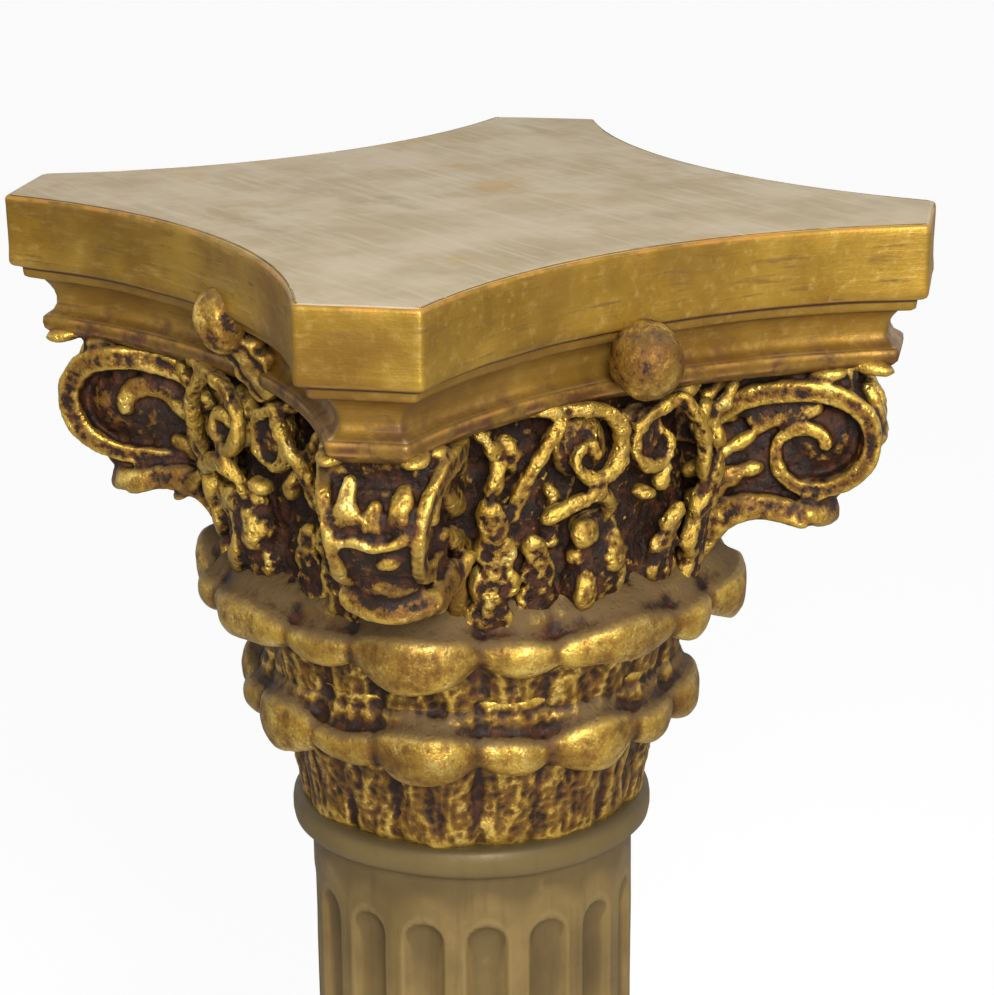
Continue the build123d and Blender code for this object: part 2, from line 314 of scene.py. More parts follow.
def outline(inset):
    """Whole outline, closed, as eight octants in turn."""
    eighth = octant(inset)
    quarter = np.vstack([eighth[:-1], eighth[::-1][:, ::-1]])[:-1]
    turned = []
    for number in range(4):
        cosine, sine = (1, 0, -1, 0)[number], (0, 1, 0, -1)[number]
        turned.append(quarter @ np.array([[cosine, sine], [-sine, cosine]]))
    ring = np.vstack(turned)
    return np.vstack([ring, ring[:1]])


def abacus_rows():
    """Rows from the centre of the top, round the edge, to the centre of the underside.

    Each is (inset, share of the outline, drop, wear), where wear is 1 on a crest that is
    rubbed and below 0 in a corner that is dark.
    """
    inner = (0.0, 0.15, 0.3, 0.45, 0.58, 0.7, 0.8, 0.87, 0.92, 0.955, 0.975, 0.988)
    rows = [(0, share, 0, 0) for share in inner]
    edge = [
        (2.0, 0.0, 0.25), (0.9, 0.25, 0.8), (0.25, 0.9, 1), (0.0, 2.0, 0.6), (0.0, 5, 0.15),
        (0.1, 10, 0), (0.3, 16, 0), (0.3, 22, 0), (0.1, 26, 0.1), (0.1, 28.0, 0.5), (0.6, 29.3, 0.8),
        (1.6, 30.0, 0.3), (3.6, 30.4, -0.6), (4.6, 31.2, -0.8), (4.7, 33.0, 0.2), (5.0, 34.6, 0.5),
        (6.2, 35.4, 0.3), (9.6, 35.6, -0.7), (10.9, 36.0, -0.9), (12.0, 37.2, -0.5), (13.8, 39.4, -0.2),
        (15.3, 42.0, 0), (16.1, 45.0, 0), (16.0, 48.0, 0), (14.6, 50.6, 0), (12.0, 52.2, 0.4),
        (10.9, 53.2, 0.8), (10.7, 55.4, 0.5), (11.2, 57.6, 0.8), (13.0, 59.4, 0.3), (16.0, 61.4, -0.2),
    ]
    rows += [(inset, 1, drop, wear) for inset, drop, wear in edge]
    rows += [(16, share, 62, -0.8) for share in (0.94, 0.85, 0.7, 0.5, 0.25, 0.0)]
    return rows


def make_abacus(material):
    bm = bmesh.new()
    rows = abacus_rows()
    outlines = [outline(inset) * share for inset, share, _, _ in rows]
    around = len(outlines[0]) - 1

    def place(u, v):
        row = np.rint(v * (len(rows) - 1)).astype(int)
        column = np.rint(u * around).astype(int)
        flat = np.array(outlines)[row, column]
        height = TOP - np.array([drop for _, _, drop, _ in rows])[row]
        return np.column_stack([flat, height])

    def worn(u, v):
        row = np.rint(v * (len(rows) - 1)).astype(int)
        return np.array([wear for _, _, _, wear in rows])[row]

    sheet(bm, around, len(rows) - 1, place, worn)
    made = mesh_object("abacus", bm)
    mesh = made.data
    points = read(mesh, "co")
    outward = read(mesh, "normal")
    hand = 0.35 * lumps(points, 38, 5.1) + 0.12 * lumps(points, 11, 8.3)
    below = np.clip((TOP - points[:, 2]) / 6, 0.25, 1)
    points += outward * (hand * below)[:, None]
    write(mesh, points)
    finish_piece(made, material, "gilded_resin")


# Volutes under the horns

# Middle of the ribbon of each face's scroll, as (reach, drop), from the bell in to the eye
SCROLL = [
    (96, 92), (103.9, 84.2), (113.4, 76.2), (124.2, 71.2), (136, 69.4), (150.5, 69.8), (161.4, 74.7),
    (168.0, 83.7), (168.5, 93.7), (164.6, 102.6), (156.4, 110.0), (146.8, 112.8), (138.3, 111.0),
    (132.1, 105.5), (130.0, 98), (131.6, 91.3), (137.8, 87.2), (145, 87.0), (149.6, 90.6),
    (149.4, 96.0),
]
SCROLL_WIDTHS = [7, 7.6, 8.2, 8.6, 8.6, 8.4, 8, 7.8, 7.6, 7.4, 7.2, 7, 6.2, 5.4, 5, 4.8, 5, 5.4, 6, 6]
DISC_SCROLL = [
    (96, 92), (104, 84.5), (111, 76), (121, 70), (133, 67.2), (146.6, 67.2), (158.6, 71.4), (166, 81),
    (167, 92), (161.5, 103), (151, 109.5), (139, 111.6), (127, 112), (117, 113.5),
]
DISC_SCROLL_WIDTHS = [8, 8.6, 9.4, 9.8, 9.8, 9.8, 9.8, 9.6, 9.2, 8.8, 8, 7.4, 6.8, 6]
DISC_CURL = [
    (101, 99), (108, 95), (116, 89), (124, 82.5), (132, 80.5), (139.4, 82.8), (143.6, 88.4),
    (141.0, 94),
]
DISC_CURL_WIDTHS = [11, 12, 11.5, 11, 10.5, 9, 7.5, 6]


def scroll_ribbon(bm, line, widths, face, sunk=None):
    """Ribbon on one face of a volute (+1 or -1), flared at its top.

    From the sunk point on, where one is given, it lies flatter.
    """
    points = []
    for number, (reach, drop) in enumerate(line):
        above = max(VOLUTE_DROP - drop, 0)
        across = 16.9 + 0.13 * (VOLUTE_DROP - drop) + 0.008 * above**2
        across = max(across, 14 if reach > 110 else 15.5)
        if sunk is not None and number >= sunk:
            across = 15.6
        points.append((reach, face * across, drop))
    heights = [7.4, 7, 6.6, 6.2, 6, 6, 6, 6, 6, 6]
    band(bm, points, widths, heights, (0, face, 0), blunt=0.02, detail=(220, 28), full=0.5, dish=0.3)


def make_volutes(name, horns, material, *nodes):
    bm = bmesh.new()
    # one face has a scroll that closes to its eye, the other a sunk disc with a leaf curling in
    scroll_ribbon(bm, SCROLL, SCROLL_WIDTHS, -1, sunk=13)
    scroll_ribbon(bm, DISC_SCROLL, DISC_SCROLL_WIDTHS, 1)
    curl = [(reach, 16.0 - 0.02 * (reach - 100), drop) for reach, drop in DISC_CURL]
    heights = [10, 9, 7.5, 6.5, 6.5, 6.5, 6.5, 6]
    band(bm, curl, DISC_CURL_WIDTHS, heights, (0.05, 1, 0.1), lobes=2, notch=0.12, detail=(90, 24))
    shelf = [(118, -15, 86), (128, -15, 80.5), (138, -14.6, 79), (149, -14, 77.5)]
    band(bm, shelf, [12, 12.5, 11, 5], [7, 6.5, 6, 5], (0, -1, 0), detail=(50, 24), full=0.6)
    branch = [(92, -21, 106), (99, -20.5, 103), (106, -19.5, 99), (114, -18, 94), (122, -16.5, 89)]
    band(bm, branch, [7, 7, 6.5, 6.5, 5], [7, 7, 6.5, 6, 5], (0.1, -1, 0.2), lobes=3, notch=0.2,
         detail=(50, 20))
    knob(bm, (VOLUTE_REACH, 0, VOLUTE_DROP), (22.5, 13.4, 19))
    # floor of the channel between the two ribbons, and the rough fill up to the abacus
    floor = [
        (VOLUTE_REACH + 0.87 * (reach - VOLUTE_REACH), 0, VOLUTE_DROP + 1 + 0.9 * (drop - VOLUTE_DROP - 1))
        for reach, drop in SCROLL[1:13]
    ]
    band(bm, floor, [5] * 7, [40, 40, 38, 34, 31, 29, 28], (0, 1, 0), blunt=0.02, detail=(120, 32),
         full=0.4)
    block(bm, (94, -18, TOP - 72), (160, 18, TOP - 57))
    # leaves along both faces
    for face in (-1, 1):
        leaf = [(94, face * 19, 121), (104, face * 17.5, 113), (114, face * 16, 107),
                (125, face * 14.5, 103)]
        band(bm, leaf, [9, 11, 9, 5], [6, 6, 5, 4], (0.1, face, 0.1), lobes=4, notch=0.25, vein=0.12,
             detail=(50, 24))
        leaf = [(100, face * 19, 76), (107, face * 17.5, 70), (119, face * 16.5, 62.5)]
        band(bm, leaf, [5, 6.5, 5], [7, 7, 6], (0.1, face, 0.4), lobes=2, notch=0.2, detail=(40, 16))
        edge = [
            (92, face * 14, 146), (99, face * 15.5, 136), (107, face * 16.5, 126.5), (117, face * 17, 121),
            (127, face * 17, 120), (137, face * 16.6, 122), (146, face * 15.4, 124.4),
        ]
        band(bm, edge, [15, 14.5, 13.5, 12, 11, 10.5, 11.5], [8] * 7, (0, face, 0.3), lobes=3, notch=0.06,
             detail=(70, 24), full=0.6)
        # leaf ends under the corners of the abacus
        knob(bm, (168, face * 15, 60), (9, 6, 3.4), (0, 10, face * 14))
        knob(bm, (150, face * 19.5, 62.5), (8, 4.5, 3.2), (0, -6, face * 10))
    feather = [(124, 14, 130), (119, 17, 126), (113, 20.5, 120), (108, 24, 114)]
    band(bm, feather, [3, 6.5, 7, 4], [3, 5, 5, 4], (0.6, 1, 0), detail=(40, 16))
    # leafy relief seen end-on between the ribbons, over a bar that joins them
    for line, widths, lobes, notch in (
        ([(165, -8.5, 91), (170, -10, 81), (165, -9, 68)], [13, 10, 4], 3, 0.12),
        ([(166, -2, 92), (170, -0.5, 85), (167, 1, 77)], [14, 10, 3.5], 2, 0.1),
        ([(165, 8, 91), (169.5, 9.5, 81), (164, 11, 71)], [13, 10, 5], 2, 0.15),
    ):
        band(bm, line, widths, [6, 6, 5], (1, 0, 0.2), lobes=lobes, notch=notch, full=0.6)
    bar = [(167, -15, 94), (170.5, -8, 92), (171, 0, 93.5), (170.5, 8, 92), (168, 15, 87)]
    band(bm, bar, [5, 4.2, 4.2, 4.2, 6], [6] * 5, (1, 0, 0.1), full=0.6)
    knob(bm, (164, 4, 101), (4.5, 5.5, 3.8), (20, 0, 0))
    # core, bowl and tip of the carrying leaf
    knob(bm, (120, 0, 98), (38, 13.5, 26))
    knob(bm, (116, 0, 108), (28, 15, 18), (0, 20, 0))
    knob(bm, (146, 0, 114), (12, 13, 8), (0, -15, 0))
    leaf = [(90, 0, 146), (101, 0, 135), (114, 0, 124), (128, 0, 120), (141, 0, 121.5), (147, 0, 123)]
    band(bm, leaf, [28, 30, 32, 34, 36, 34], [9, 9, 9, 8, 8, 7], (0.2, 0, 1), detail=(60, 40))
    lip = [(140, -19, 121), (147, -13, 123), (151, 0, 124.5), (147, 13, 123), (140, 19, 121)]
    band(bm, lip, [5, 10, 11.5, 10, 5], [7] * 5, (1, 0, 0.3), blunt=0.12, detail=(60, 28), full=0.6)
    block(bm, (84, -12, TOP - 96), (150, 12, TOP - 58))
    repeated(bm, horns)
    made = mesh_object(name, bm)
    fuse(made, 1.2)
    weather(made, (9, 0.45), (3.0, 0.2))
    finish_piece(made, material, "gilded_resin", *nodes)


# Carving on the sides of the bell, above the leaves

# Middles of the large and the small scroll's ribbons, as (across, drop), and their reaches
HELIX = [
    (51.6, 57.6), (39.6, 59.6), (27.4, 60.5), (15.1, 62), (5.5, 66), (0.5, 75), (2, 85.4), (11.4, 91),
    (20, 85.5), (20.4, 79), (13.8, 77.4), (9.4, 83),
]
SMALL_HELIX = [
    (50, 60), (40, 62), (31, 65), (21, 68), (12, 72.5), (8.5, 80), (11.5, 88), (19, 91.5), (26, 87.5),
    (26, 80.5), (20, 78), (17, 82.5),
]
HELIX_REACHES = (103, 106, 108, 109.5, 109.5, 109, 108.5, 108, 107.5, 107, 106, 105)
HELIX_WIDTHS = (5, 5, 5.6, 6, 6, 5.8, 5.6, 5.4, 5.2, 5, 4.8, 4.6)
HELIX_HEIGHTS = (8, 8, 8, 8, 7.5, 7, 7, 6.5, 6.5, 6, 6, 6)

# Leaflets beside the scrolls, as (reach, across, drop, half width, half height, tilt)
LEAFLETS = (
    (99, 46, 76, 3.4, 8, 30), (99, 53, 84, 3.4, 9, -15), (100, 58, 70, 3.4, 8, 40), (99, 27, 97, 3, 6, 25),
)


def make_side_carving(name, sides, material):
    """Carving of two sides that meet, on their half of the bell."""
    bm = bmesh.new()
    # on each side a large and a small scroll, each with a branch that comes down beside the bell
    for face, line, back, thick in ((-1, HELIX, 0, 1.0), (1, SMALL_HELIX, 4.5, 0.85)):
        scroll = [(reach - back, face * across, drop) for reach, (across, drop) in zip(HELIX_REACHES, line)]
        widths = [thick * width for width in HELIX_WIDTHS]
        band(bm, scroll, widths, HELIX_HEIGHTS, blunt=0.02, detail=(180, 24), full=0.55, dish=0.2)
        knob(bm, (98, face * 14, 79), (7, 12, 13))
        branch = [(108.5, face * 27, 62), (109, face * 33, 69), (108, face * 39, 78), (104, face * 44, 89),
                  (99, face * 47, 104)]
        band(bm, branch, [4.4, 5, 5.4, 6, 7], [7, 7, 7, 7, 6], (1, face * 0.4, 0), lobes=2, notch=0.12,
             detail=(60, 20), full=0.6, dish=0.15)
        # sheath that the scrolls grow from and the rough leaves beside it, low on the bell
        sheath = [(84, face * 49, 156), (89, face * 49, 138), (93, face * 49, 122), (96, face * 52, 108),
                  (99, face * 56, 92)]
        band(bm, sheath, [20, 21, 19, 15, 8], [8, 8, 8, 8, 6], (1, face * 0.55, 0), lobes=4, notch=0.3,
             vein=0.15, detail=(60, 36), full=0.6)
        leaf = [(88, face * 31, 157), (92, face * 30, 140), (95, face * 31, 126), (98, face * 36, 111)]
        band(bm, leaf, [17, 18, 15, 6], [7, 7, 6, 5], (1, face * 0.3, 0), lobes=4, notch=0.3, vein=0.15,
             detail=(70, 36), full=0.6)
        for reach, across, drop, wide, tall, tilt in LEAFLETS:
            tilt = math.radians(tilt)
            lean, rise = face * tall * math.sin(tilt), tall * math.cos(tilt)
            leaflet = [
                (reach - 2 + 3 * (1 - end**2), face * across + end * lean, drop - end * rise)
                for end in (-1, -0.3, 0.4, 1)
            ]
            band(bm, leaflet, [2 * wide, 2.2 * wide, 1.6 * wide, wide], [6, 6, 5, 4], lobes=2, notch=0.3,
                 detail=(40, 20), full=0.6)
    # rough upright leaf between them, its bud and the leaf that arches over it
    stalk = [(90, -3, 156), (95, -5, 142), (98, -6, 128), (99, -7, 116), (98, -8, 106)]
    band(bm, stalk, [24, 28, 28, 24, 14], [10, 11, 11, 10, 8], lobes=4, notch=0.22, vein=0.12,
         detail=(80, 44), full=0.6)
    arch = [(103, -35, 105), (107, -29, 101), (109, -20, 97.5), (109, -11, 97), (106, -5, 102),
            (103, -5, 110)]
    band(bm, arch, [5, 7, 6.5, 7, 5, 3], [7, 7, 7, 7, 6, 5], (1, 0, 0.2), lobes=4, notch=0.3,
         detail=(80, 20), full=0.6)
    knob(bm, (103, -14, 113), (4.5, 6.5, 6))
    knob(bm, (106, 12, 100.5), (4.5, 6, 3.2), (-12, 0, 0))
    knob(bm, (104, -1, 122), (3.5, 6, 9), (12, 0, 0))
    knob(bm, (103, -14, 136), (3.5, 5, 9), (-8, 0, 0))
    repeated(bm, sides)

    def bell(u, v):
        drop = 50 + 108 * v
        turn = np.radians(sides[0] - 45 + 180 * u)
        radius = np.where(at_end(v) | at_end(u), 0, bell_radius(drop) + 1.5)
        return polar(radius, turn, TOP - drop)

    sheet(bm, 160, 40, bell)
    made = mesh_object(name, bm)
    fuse(made, 1.3)

    def crumble(points):
        """Broken, pitted ground as of leaf laid over a rough cast."""
        ground = np.clip((104 - np.hypot(points[:, 0], points[:, 1])) / 8, 0.3, 1)
        broken, pitted = np.abs(lumps(points, 8, 4.4)), np.abs(lumps(points, 3.6, 9.9))
        return ground * (0.9 - 1.6 * broken - 0.8 * pitted)

    weather(made, (9, 0.8), (2.8, 0.4), grain=crumble)
    finish_piece(made, material, "gilded_resin")


# Bosses: round ones on three sides, and a smaller fluted bud with its stem on the fourth

def make_bosses(material):
    bm = bmesh.new()
    bud = bmesh.ops.create_icosphere(bm, subdivisions=5, radius=1)["verts"]
    for vert in bud:
        around = math.atan2(vert.co.y, vert.co.x)
        vert.co *= 1 + 0.05 * math.cos(7 * around) * (1 - abs(vert.co.z))
    place = Matrix.Translation((BUD_REACH, BUD_ACROSS, TOP - BUD_DROP))
    lean = Matrix.Rotation(math.radians(20), 4, "X")
    bmesh.ops.transform(bm, matrix=place @ lean @ Matrix.Diagonal((*BUD_RADII, 1)), verts=bud)
    stem = [
        (BUD_REACH - back, BUD_ACROSS + aside, BUD_DROP + below)
        for back, aside, below in ((6, 3, 7), (9, 6, 14), (12, 10, 22), (15, 14, 31))
    ]
    widths, heights = [17, 23, 23, 14], [13, 11, 9, 7]
    band(bm, stem, widths, heights, (1, 0.2, 0), lobes=3, notch=0.2, vein=0.2, detail=(60, 40), full=0.7)
    bmesh.ops.rotate(bm, verts=bm.verts[:], matrix=Matrix.Rotation(math.pi, 3, "Z"))
    place = Matrix.Translation((BOSS_REACH, 0, TOP - BOSS_DROP)) @ Matrix.Diagonal((*BOSS_RADII, 1))
    for angle in (0, 90, 270):
        boss = bmesh.ops.create_icosphere(bm, subdivisions=6, radius=1)["verts"]
        turn = Matrix.Rotation(math.radians(angle), 4, "Z")
        bmesh.ops.transform(bm, matrix=turn @ place, verts=boss)
    made = mesh_object("bosses", bm)
    fuse(made, 0.8)
    weather(made, (12, 0.6), (4.5, 0.2), soften=0)
    finish_piece(made, material, "gilded_resin")


# Tiers of leaves

def tier_surface(lobes, gap, shelf, under):
    """Surface of a ring of leaf lips: from the bell over the crest, round the lip and back under.

    A lobe is (angle, half width, reach, crest, hem) and gap is (reach, crest, hem) between
    lobes, where crest and hem are drops. Shelf and under are (radius, drop) on the bell.
    """
    def place(u, v):
        angle = 360 * u
        reach, crest, hem = (np.zeros_like(u) for _ in range(3))
        for centre, half, lobe_reach, lobe_crest, lobe_hem in lobes:
            share = np.abs(away_from(angle, centre) / half)
            rise = (0.5 + 0.5 * np.cos(math.pi * np.clip(share / 1.12, 0, 1))) ** 0.55
            reach = np.maximum(reach, (lobe_reach - gap[0]) * rise)
            crest = np.maximum(crest, (gap[1] - lobe_crest) * rise)
            hem = np.maximum(hem, (lobe_hem - gap[2]) * rise)
        reach, crest, hem = gap[0] + reach, gap[1] - crest, gap[2] + hem
        # no two lobes are quite alike
        turn = np.radians(angle)
        reach = reach + 0.8 * np.sin(5 * turn + 1) + 0.7 * np.sin(11 * turn + 2) + 0.5 * np.sin(19 * turn)
        crest = crest + 0.8 * np.sin(7 * turn + 2) + 0.6 * np.sin(13 * turn)
        hem = hem + 1.0 * np.sin(9 * turn) + 0.8 * np.sin(17 * turn + 1)
        tall = hem - crest
        profile = [
            (shelf[0] - 8, shelf[1] - 8), (shelf[0], shelf[1]),
            (0.55 * shelf[0] + 0.45 * reach, 0.6 * shelf[1] + 0.4 * crest),
            (reach - 6.0, crest - 1.6), (reach - 2.0, crest + 0.4), (reach - 0.2, crest + 0.25 * tall),
            (reach, crest + 0.5 * tall), (reach - 1.4, crest + 0.78 * tall), (reach - 5.5, hem),
            (reach - 11.5, hem - 1.0), (under[0] + 2, hem - 2.5), (under[0] - 6, under[1]),
        ]
        steps = v * (len(profile) - 1)
        cell = np.clip(steps.astype(int), 0, len(profile) - 2)
        column = np.arange(len(u))

        def through(which):
            rows = np.array([np.broadcast_to(point[which], u.shape) for point in profile])
            padded = np.vstack([2 * rows[:1] - rows[1:2], rows, 2 * rows[-1:] - rows[-2:-1]])
            return spline(*(padded[cell + k, column] for k in range(4)), steps - cell)

        radius, drop = through(0), through(1)
        return polar(np.where(at_end(v), 0, radius), turn, TOP - drop)
    return place


def make_leaves(name, tier, bodies, span, material):
    """Tier of leaves: its lips from a surface, and bodies (angle, half width, depth) under them.

    Span is the drops that the bodies go from and to.
    """
    bm = bmesh.new()
    sheet(bm, 480, 60, tier)
    low, high = span

    def body(u, v):
        drop = low + (high - low) * v
        radius = bell_radius(drop)
        for centre, half, depth in bodies:
            share = np.abs(away_from(360 * u, centre)) / half
            ribs = 0.5 + 0.5 * np.cos(share * math.pi * 2)
            raised = (depth + 0.4 * ribs) * np.clip(1.15 - share**3, 0, 1)
            radius = np.maximum(radius, bell_radius(drop) + raised)
        return polar(np.where(at_end(v), 0, radius), 2 * math.pi * u, TOP - drop)

    sheet(bm, 360, 48, body)
    made = mesh_object(name, bm)
    fuse(made, 1.25)

    def grain(points):
        """Rough upright furrows on the leaves' bodies, below the lips."""
        around = np.arctan2(points[:, 1], points[:, 0]) * 85
        flat = np.column_stack([around, 0 * around, points[:, 2] * 0.4])
        reach = np.hypot(points[:, 0], points[:, 1])
        inner = np.clip((bell_radius(TOP - points[:, 2]) + 9 - reach) / 5, 0, 1)
        broad, narrow = np.abs(lumps(flat, 12.0, 2.9)), np.abs(lumps(flat, 5.0, 6.1))
        return inner * (1.1 - 1.8 * broad - 0.5 * narrow - 0.5 * np.abs(lumps(points, 4.0, 1.3)))

    weather(made, (15, 0.55), (4.5, 0.14), grain=grain)
    finish_piece(made, material, "gilded_resin")


def make_upper_leaves(material):
    lobes = [(angle, 12.8, 118.5, 149.5, 175) for angle in HORNS]
    lobes += [(angle, 15.5, 116, 150, 169) for angle in SIDES]
    lobes += [(angle + 22.5, 8.2, 113, 152.5, 169) for angle in EIGHTHS]
    bodies = [(angle, 12, 3) for angle in EIGHTHS] + [(angle + 22.5, 6, 1.5) for angle in EIGHTHS]
    tier = tier_surface(lobes, gap=(109, 154, 163.5), shelf=(93, 139), under=(86, 176))
    make_leaves("upper-leaves", tier, bodies, (141, 200), material)


def make_lower_leaves(material):
    lobes = [(angle, 13.2, 99.5, 197, 221) for angle in EIGHTHS]
    lobes += [(angle + 22.5, 10.2, 95.5, 201, 217) for angle in EIGHTHS]
    bodies = [(angle, 12, 2.5) for angle in EIGHTHS] + [(angle + 22.5, 8, 1.5) for angle in EIGHTHS]
    tier = tier_surface(lobes, gap=(92, 201.5, 212), shelf=(82, 187), under=(75, 224))
    make_leaves("lower-leaves", tier, bodies, (184, 257), material)


# Shaft and base

def make_shaft(material):
    bm = bmesh.new()
    # rows from the ring's shelf down to the foot, as (radius, height), with no radius where fluted
    ring = [
        (60, 744.6), (71, 745.2), (73.4, 745), (75.4, 744.2), (76.6, 742.4), (77, 739.6), (77, 736),
        (76.6, 733.4), (75.2, 731.8), (72, 731.2), (69.8, 730.4), (69.1, 728),
    ]
    heads = [727, 722, 716, 711, 708.5, 706.8, 705.2, 703.4, 701.4, 699, 696.4, 693.4, 690, 684]
    plain = list(np.linspace(670, 190, 26))
    feet = [178, 172, 168.6, 165.6, 163, 160.6, 158.6, 156.8, 155.2, 153.5, 151, 147, 142]
    foot = [
        (69.1, 139.6), (70, 138.2), (73, 137.4), (76, 136.8), (77.6, 135), (78, 131), (77.6, 127.4),
        (76, 125.4), (60, 124.8),
    ]
    rows = ring + [(None, height) for height in heads + plain + feet] + foot
    columns = FLUTES * COLUMNS_PER_FLUTE
    start = math.radians(45 + FLUTE_TURN)
    reaches = np.array([radius or SHAFT_RADIUS for radius, _ in rows], float)
    levels = np.array([height for _, height in rows], float)
    fluted = np.array([radius is None for radius, _ in rows])

    def place(u, v):
        row = np.rint(v * (len(rows) - 1)).astype(int)
        angle = 2 * math.pi * np.rint(u * columns) / columns + start
        height = levels[row]
        pitch = 2 * math.pi / FLUTES
        away = ((angle - start + pitch / 2) % pitch - pitch / 2) * SHAFT_RADIUS
        half = FLUTE_WIDTH / 2
        over = np.maximum(np.maximum(height - (FLUTE_HIGH - half), FLUTE_LOW + half - height), 0)
        from_line = np.sqrt(away**2 + over**2) / half
        hollow = np.sqrt(np.clip(1 - from_line**2, 0, 1))
        return polar(reaches[row] - fluted[row] * FLUTE_DEPTH * hollow, angle, height)

    sheet(bm, columns, len(rows) - 1, place)
    closed(bm)
    made = mesh_object("fluted-shaft", bm)
    weather(made, (60, 0.35), (14, 0.08))
    finish_piece(made, material, "bronzed_resin", "shaft")


def make_base(material):
    bm = bmesh.new()
    # square plinth with a worn edge
    half = PLINTH_WIDTH / 2
    block(bm, (-half, -half, 0), (half, half, PLINTH_HEIGHT))
    bmesh.ops.bevel(bm, geom=bm.edges[:], offset=PLINTH_EDGE, segments=3, profile=0.5, affect="EDGES",
                    material=-1)
    # round mouldings turned in one outline
    section = [(100, 57), (122, 57.6), (123.5, 59)]
    torus = np.radians(np.linspace(-68, 68, 22))
    section += [(105 + 21 * math.cos(turn), 79.5 + 20 * math.sin(turn)) for turn in torus]
    section += [
        (111, 99.4), (109, 100.2), (103, 100.6), (101, 101.6), (99.5, 104.5), (96.6, 108), (95, 112),
        (94.8, 116), (95.6, 119.6), (96, 121), (95.8, 123.2), (94, 124.6), (80, 125),
    ]
    chain = [bm.verts.new((reach, 0, height)) for reach, height in section]
    edges = [bm.edges.new(pair) for pair in zip(chain, chain[1:])]
    bmesh.ops.spin(
        bm, geom=chain + edges, cent=(0, 0, 0), axis=(0, 0, 1), dvec=(0, 0, 0),
        angle=2 * math.pi, steps=160, use_merge=True,
    )
    closed(bm)
    made = mesh_object("base-mouldings", bm)
    finish_piece(made, material, "bronzed_resin", "base")


# Finishes

class Value:
    """A shader value that arithmetic can be written with."""

    def __init__(self, finish, socket):
        self.finish, self.socket = finish, socket

    def _with(self, operation, first, second):
        node = self.finish.node("ShaderNodeMath", {"operation": operation}, {0: first, 1: second})
        return Value(self.finish, node.outputs[0])

    def __add__(self, other):
        return self._with("ADD", self, other)

    def __radd__(self, other):
        return self._with("ADD", other, self)

    def __sub__(self, other):
        return self._with("SUBTRACT", self, other)

    def __rsub__(self, other):
        return self._with("SUBTRACT", other, self)

    def __mul__(self, other):
        return self._with("MULTIPLY", self, other)

    def __rmul__(self, other):
        return self._with("MULTIPLY", other, self)

    def __pow__(self, other):
        return self._with("POWER", self, other)

    def step(self, low, high):
        """0 below low and 1 above high, smooth between."""
        inputs = {"Value": self, "From Min": low, "From Max": high, "To Min": 0.0, "To Max": 1.0}
        node = self.finish.node("ShaderNodeMapRange", {"interpolation_type": "SMOOTHSTEP"}, inputs)
        return Value(self.finish, node.outputs["Result"])


class Finish:
    """One material and the nodes that make it."""

    def __init__(self, name):
        self.material = bpy.data.materials.new(name)
        self.material.use_nodes = True
        self.tree = self.material.node_tree
        self.tree.nodes.clear()
        self.shader = self.node("ShaderNodeBsdfPrincipled")
        out = self.node("ShaderNodeOutputMaterial")
        self.tree.links.new(self.shader.outputs[0], out.inputs[0])
        self.place = self.node("ShaderNodeTexCoord").outputs["Object"]

    def node(self, kind, settings=None, inputs=None):
        made = self.tree.nodes.new(kind)
        for name, value in (settings or {}).items():
            setattr(made, name, value)
        for name, value in (inputs or {}).items():
            self.feed(made.inputs[name], value)
        return made

    def feed(self, socket, value):
        if isinstance(value, Value):
            value = value.socket
        if isinstance(value, bpy.types.NodeSocket):
            self.tree.links.new(value, socket)
        else:
            socket.default_value = value

    def stretched(self, scale):
        """Object coordinates, stretched before a pattern reads them."""
        node = self.node("ShaderNodeMapping", None, {"Vector": self.place, "Scale": scale})
        return node.outputs[0]

    def grain(self, size, detail=4.0, rough=0.55, stretch=None, twist=0.0):
        """Cloudy pattern from 0 to 1 whose patches are about size metres."""
        where = self.stretched(stretch) if stretch else self.place
        inputs = {"Vector": where, "Scale": 1 / size, "Detail": detail, "Roughness": rough,
                  "Distortion": twist}
        return Value(self, self.node("ShaderNodeTexNoise", None, inputs).outputs[0])

    def cells(self, size):
        """Distance from scattered points, 0 at each point, for pits."""
        inputs = {"Vector": self.place, "Scale": 1 / size, "Randomness": 1.0}
        return Value(self, self.node("ShaderNodeTexVoronoi", None, inputs).outputs["Distance"])

    def measured(self, name):
        """A value that the mesh carries."""
        return Value(self, self.node("ShaderNodeAttribute", {"attribute_name": name}).outputs["Fac"])

    def split(self, socket):
        parts = self.node("ShaderNodeSeparateXYZ", None, {0: socket}).outputs
        return [Value(self, part) for part in parts]

    def facing(self):
        """Parts of the surface normal, in the column's frame."""
        return self.split(self.node("ShaderNodeNewGeometry").outputs["Normal"])

    def blend(self, share, first, second):
        """Colour that goes from the first to the second as share rises."""
        settings = {"data_type": "RGBA", "clamp_factor": True}
        node = self.node("ShaderNodeMix", settings)
        for socket, value in zip((node.inputs[0], node.inputs[6], node.inputs[7]), (share, first, second)):
            self.feed(socket, (*value, 1.0) if isinstance(value, tuple) else value)
        return node.outputs[2]

    def relief(self, height, depth, strength=1.0):
        """Normal of a surface with these heights, of depth metres in all."""
        inputs = {"Height": height, "Distance": depth, "Strength": strength}
        return self.node("ShaderNodeBump", None, inputs).outputs[0]

    def done(self, **inputs):
        for name, value in inputs.items():
            value = (*value, 1.0) if isinstance(value, tuple) else value
            self.feed(self.shader.inputs[name.replace("_", " ")], value)
        return self.material


